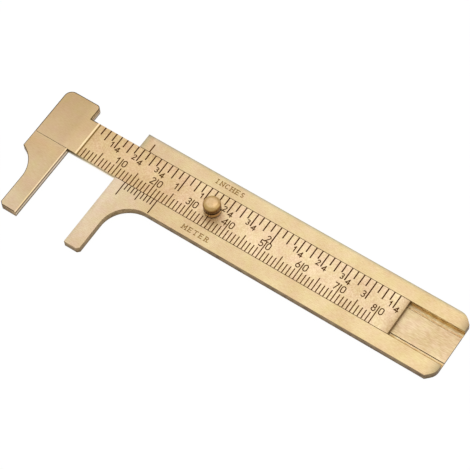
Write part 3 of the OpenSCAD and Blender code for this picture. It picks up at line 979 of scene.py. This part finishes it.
@dataclass
class Graduations:
    """Wax bars in the engraved lines, laid out by Geometry Nodes."""

    engraving: Engraving = Engraving()
    slide_edge: float = SLIDE_HALF_WIDTH
    rail_edge: float = SLIDE_HALF_WIDTH + RUNNING_GAP
    sixteenth: float = 25.4 * MM / 16
    vernier_pitch: float = 0.9 * MM
    # Names of the longer kinds of line in the tree's inputs
    kinds: str = "ABC"
    zero_line: float = field(init=False)
    # Height of the middle of the bars, and their thickness
    middle: float = field(init=False)
    thick: float = field(init=False)
    tree: Any = field(init=False)
    sockets: dict[str, str] = field(default_factory=dict)

    def __post_init__(self) -> None:
        """Takes the places of the lines and starts the shared tree."""
        slide_high, frame_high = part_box("slide")[1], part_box("frame")[1]
        self.zero_line = slide_high.x - frame_high.x
        self.middle = frame_high.z - (self.engraving.depth + self.engraving.fill_below_face) / 2
        self.thick = self.engraving.depth - self.engraving.fill_below_face
        self.tree = bpy.data.node_groups.new("graduation_fill", "GeometryNodeTree")

    def build(self) -> None:
        """Fills the lines of the slide and those of the frame."""
        self._build_tree()
        self._fill("slide_fill", "slide", self._slide_rows())
        self._fill("vernier_fill", "frame", self._frame_rows())

    def _slide_rows(self) -> list[LineRow]:
        """Returns the millimetre lines, the sixteenths of an inch and the zero line."""
        edge = self.slide_edge
        millimetres = LineRow(
            start=(self.zero_line + MM, -edge), count=80, first=1, towards=1.0, plain=2.45 * MM,
            longer=((5, 3.5 * MM), (10, 4.75 * MM)), width=self.engraving.line_width, wax=WAX)
        inches = LineRow(
            start=(self.zero_line + self.sixteenth, edge), pitch=self.sixteenth, count=52, first=1,
            towards=-1.0, plain=2.2 * MM, longer=((2, 3.0 * MM), (4, 3.55 * MM), (16, 4.95 * MM)),
            width=self.engraving.inch_line_width, wax=BLACK_WAX)
        zero = LineRow(
            start=(self.zero_line, -edge), towards=1.0, plain=2 * edge,
            width=self.engraving.zero_line_width, wax=WORN_WAX)
        return [millimetres, inches, zero]

    def _frame_rows(self) -> list[LineRow]:
        """Returns the vernier and the inch index, whose lengths count from the slide's edge."""
        gap = self.rail_edge - self.slide_edge
        vernier = LineRow(
            start=(0.0, -self.rail_edge), pitch=self.vernier_pitch, count=11, towards=-1.0,
            plain=1.8 * MM - gap, longer=((5, 2.65 * MM - gap), (10, 3.9 * MM - gap)),
            width=self.engraving.line_width, wax=BLACK_WAX)
        index = LineRow(
            start=(0.0, self.rail_edge), towards=1.0, plain=2.4 * MM - gap,
            width=self.engraving.inch_line_width, wax=WAX)
        return [vernier, index]

    def _input(self, name: str, kind: str) -> None:
        """Adds a named input to the tree and keeps its identifier.

        Args:
            name: Name of the input.
            kind: Type of its socket.
        """
        item = self.tree.interface.new_socket(name, in_out="INPUT", socket_type=kind)
        self.sockets[name] = item.identifier

    def _build_tree(self) -> None:
        """Lays points along the row, picks each line's length and puts a bar there."""
        tree = self.tree
        half = 0.5
        for name in ("Count", "First"):
            self._input(name, "NodeSocketInt")
        for name in ("Pitch", "Plain", "Towards", "Width", "Thick"):
            self._input(name, "NodeSocketFloat")
        for kind in self.kinds:
            self._input(f"Every {kind}", "NodeSocketInt")
            self._input(f"Long {kind}", "NodeSocketFloat")
        self._input("Start", "NodeSocketVector")
        self._input("Material", "NodeSocketMaterial")
        tree.interface.new_socket("Geometry", in_out="OUTPUT", socket_type="NodeSocketGeometry")
        given = add_node(tree, "NodeGroupInput", {}, {}).outputs
        step = add_node(tree, "ShaderNodeCombineXYZ", {}, {"X": given["Pitch"]}).outputs[0]
        points = add_node(tree, "GeometryNodeMeshLine", {"mode": "OFFSET"}, {
            "Count": given["Count"], "Start Location": given["Start"], "Offset": step}).outputs[0]
        index = add_node(tree, "GeometryNodeInputIndex", {}, {}).outputs[0]
        number = add_math(tree, "ADD", index, given["First"])
        length = given["Plain"]
        for kind in self.kinds:
            rest = add_math(tree, "MODULO", number, given[f"Every {kind}"])
            fits = add_math(tree, "LESS_THAN", rest, half)
            length = add_node(tree, "GeometryNodeSwitch", {"input_type": "FLOAT"}, {
                "Switch": fits, "False": length, "True": given[f"Long {kind}"]}).outputs[0]
        reach = add_math(tree, "MULTIPLY", add_math(tree, "MULTIPLY", length, given["Towards"]), half)
        shift = add_node(tree, "ShaderNodeCombineXYZ", {}, {"Y": reach}).outputs[0]
        placed = add_node(tree, "GeometryNodeSetPosition", {}, {
            "Geometry": points, "Offset": shift}).outputs[0]
        bar = add_node(tree, "GeometryNodeMeshCube", {}, {}).outputs[0]
        size = add_node(tree, "ShaderNodeCombineXYZ", {}, {
            "X": given["Width"], "Y": length, "Z": given["Thick"]}).outputs[0]
        bars = add_node(tree, "GeometryNodeInstanceOnPoints", {}, {
            "Points": placed, "Instance": bar, "Scale": size}).outputs[0]
        solid = add_node(tree, "GeometryNodeRealizeInstances", {}, {"Geometry": bars}).outputs[0]
        waxed = add_node(tree, "GeometryNodeSetMaterial", {}, {
            "Geometry": solid, "Material": given["Material"]}).outputs[0]
        add_node(tree, "NodeGroupOutput", {}, {"Geometry": waxed})

    def _row_mesh(self, row: LineRow) -> bpy.types.Mesh:
        """Evaluates the tree for one row.

        Args:
            row: The row of lines.

        Returns:
            A plain mesh of its bars.
        """
        carrier = bpy.data.objects.new("row_carrier", bpy.data.meshes.new("row_carrier"))
        bpy.context.scene.collection.objects.link(carrier)
        layout = carrier.modifiers.new("layout", "NODES")
        layout.node_group = self.tree
        # A bar is a hair narrower than its cut, so that their walls don't share a plane
        given = {
            "Count": row.count, "First": row.first, "Pitch": row.pitch, "Plain": row.plain,
            "Towards": row.towards, "Width": row.width - WELD, "Thick": self.thick,
            "Start": (row.start[0], row.start[1], self.middle), "Material": row.wax.material()}
        # A row with fewer longer kinds has every line plain in the kinds that it lacks
        spare = len(self.kinds) - len(row.longer)
        for kind, (every, length) in zip(self.kinds, ((1, row.plain),) * spare + row.longer):
            given[f"Every {kind}"] = every
            given[f"Long {kind}"] = length
        for name, value in given.items():
            layout[self.sockets[name]] = value
        graph = bpy.context.evaluated_depsgraph_get()
        mesh = bpy.data.meshes.new_from_object(carrier.evaluated_get(graph))
        carrier.modifiers.remove(layout)
        bpy.data.objects.remove(carrier)
        return mesh

    def _fill(self, name: str, body: str, rows: list[LineRow]) -> None:
        """Makes one piece from the rows of one body.

        Args:
            name: Name of the piece.
            body: The body that it moves with.
            rows: Its rows of lines.
        """
        waxes = list(dict.fromkeys(row.wax for row in rows))
        work = bmesh.new()
        for row in rows:
            known = len(work.faces)
            work.from_mesh(self._row_mesh(row))
            work.faces.ensure_lookup_table()
            for face in work.faces[known:]:
                face.material_index = waxes.index(row.wax)
        add_piece(finished(work, name, waxes), name, body)


@dataclass
class Studio:
    """White table, soft light and the camera of the photograph."""

    # Where the camera's axis meets the caliper's face
    target: tuple[float, float, float] = (29.0 * MM, -2.53 * MM, 2.0 * MM)
    distance: float = 483.3 * MM
    # Its angles in degrees
    azimuth: float = 39.58
    elevation: float = 61.15
    roll: float = 5.96
    focal_px: float = 2141.0
    sensor: float = 36.0
    near_clip: float = 0.01
    table_size: float = 6.0
    # The table lies this far below the caliper, so that their faces don't share a level
    table_drop: float = 0.02 * MM
    table_paint: str = "#F9F9F9"
    # Share of the table's own white against its lit paint, which keeps the shadow
    table_white: float = 0.93
    # A little over white, which makes up for the paint's share
    table_glow: float = 1.03
    # Strength of the surround as light, and as what the camera and the metal see
    surround_light: float = 0.8
    surround_seen: float = 1.0
    lamp_place: tuple[float, float, float] = (0.15, 0.3, 0.7)
    lamp_size: float = 0.5
    lamp_power: float = 0.25

    def build(self) -> None:
        """Sets up the table, the light and the camera."""
        self._table()
        self._world()
        self._lamp()
        self._camera()
        bpy.context.scene.view_settings.view_transform = "Standard"

    def _table(self) -> None:
        """Lays the white table under the caliper."""
        half = self.table_size / 2
        mesh = bpy.data.meshes.new("table")
        square = ((-half, -half), (half, -half), (half, half), (-half, half))
        mesh.from_pydata([(x, y, -self.table_drop) for x, y in square], [], [(0, 1, 2, 3)])
        material = bpy.data.materials.new("white_table")
        material.use_nodes = True
        tree = material.node_tree
        tree.nodes.clear()
        glow = add_node(tree, "ShaderNodeEmission", {}, {
            "Color": WHITE, "Strength": self.table_glow}).outputs[0]
        paint = add_node(tree, "ShaderNodeBsdfDiffuse", {}, {"Color": linear(self.table_paint)}).outputs[0]
        share = add_math(tree, "MULTIPLY", self._seen(tree), self.table_white)
        both = add_node(tree, "ShaderNodeMixShader", {}, {0: share, 1: paint, 2: glow}).outputs[0]
        add_node(tree, "ShaderNodeOutputMaterial", {}, {"Surface": both})
        mesh.materials.append(material)
        table = bpy.data.objects.new("table", mesh)
        bpy.context.scene.collection.objects.link(table)

    def _seen(self, tree: Any) -> Any:
        """Adds a test for rays that show the background.

        Args:
            tree: The node tree of the table or the world.

        Returns:
            A socket that is 1 for camera, glossy and transmission rays.
        """
        path = add_node(tree, "ShaderNodeLightPath", {}, {}).outputs
        direct = add_math(tree, "MAXIMUM", path["Is Camera Ray"], path["Is Glossy Ray"])
        return add_math(tree, "MAXIMUM", direct, path["Is Transmission Ray"])

    def _world(self) -> None:
        """Makes the white surround."""
        world = bpy.data.worlds.new("white_surround")
        bpy.context.scene.world = world
        world.use_nodes = True
        tree = world.node_tree
        tree.nodes.clear()
        strength = add_node(tree, "ShaderNodeMapRange", {}, {
            "Value": self._seen(tree), "To Min": self.surround_light,
            "To Max": self.surround_seen}).outputs[0]
        glow = add_node(tree, "ShaderNodeBackground", {}, {
            "Color": WHITE, "Strength": strength}).outputs[0]
        add_node(tree, "ShaderNodeOutputWorld", {}, {"Surface": glow})

    def _lamp(self) -> None:
        """Hangs one soft lamp above and behind the caliper."""
        data = bpy.data.lights.new("soft_box", "AREA")
        data.shape = "DISK"
        data.size = self.lamp_size
        data.energy = self.lamp_power
        lamp = bpy.data.objects.new("soft_box", data)
        lamp.location = self.lamp_place
        lamp.rotation_euler = (Vector(self.target) - lamp.location).to_track_quat("-Z", "Y").to_euler()
        bpy.context.scene.collection.objects.link(lamp)

    def _camera(self) -> None:
        """Puts the camera where the photograph was taken from."""
        turn, lift, roll = (math.radians(angle) for angle in (self.azimuth, self.elevation, self.roll))
        back = Vector((math.sin(turn) * math.cos(lift), -math.cos(turn) * math.cos(lift), math.sin(lift)))
        side = Vector((0, 0, 1)).cross(back).normalized()
        plain_up = back.cross(side)
        up = plain_up * math.cos(roll) + side * math.sin(roll)
        right = up.cross(back)
        place = Matrix((right, up, back)).transposed().to_4x4()
        place.translation = Vector(self.target) + back * self.distance
        data = bpy.data.cameras.new("camera")
        data.sensor_width = self.sensor
        data.lens = self.focal_px * self.sensor / IMAGE_PX
        data.clip_start = self.near_clip
        camera = bpy.data.objects.new("camera", data)
        camera.matrix_world = place
        bpy.context.scene.collection.objects.link(camera)
        bpy.context.scene.camera = camera


def main() -> None:
    """Builds the caliper and its studio."""
    logging.basicConfig(level=logging.INFO, format="%(name)s %(message)s")
    FramePlate("frame", "frame", "brass_rail", {
        Region.FACE: RAIL, Region.UPPER: UPPER_RAIL, Region.SIDE: SIDE, Region.FILL: WAX, Region.CUT: CUT,
        Region.FLOOR: FLOOR, Region.RELIEF: RELIEF, Region.WALL: WALL, Region.LAPPED: LAPPED,
        Region.RIM: RIM}).build()
    SlidePlate("slide", "slide", "brass_slide", {
        Region.FACE: SCALE, Region.HEAD: HEAD, Region.SIDE: SIDE, Region.FILL: WAX,
        Region.LAPPED: FLANK, Region.BURNISHED: BURNISHED, Region.RIM: RIM, Region.SEAM: DIRT}).build()
    JawPlate("moving_jaw", "slide", "brass_jaw", {
        Region.FACE: JAW, Region.SIDE: SIDE, Region.LAPPED: LAPPED, Region.BURNISHED: BURNISHED,
        Region.RIM: RIM, Region.SEAM: DIRT}).build()
    ThumbKnob().build()
    InnerPieces().dress()
    Graduations().build()
    Studio().build()


if __name__ == "__main__":
    main()
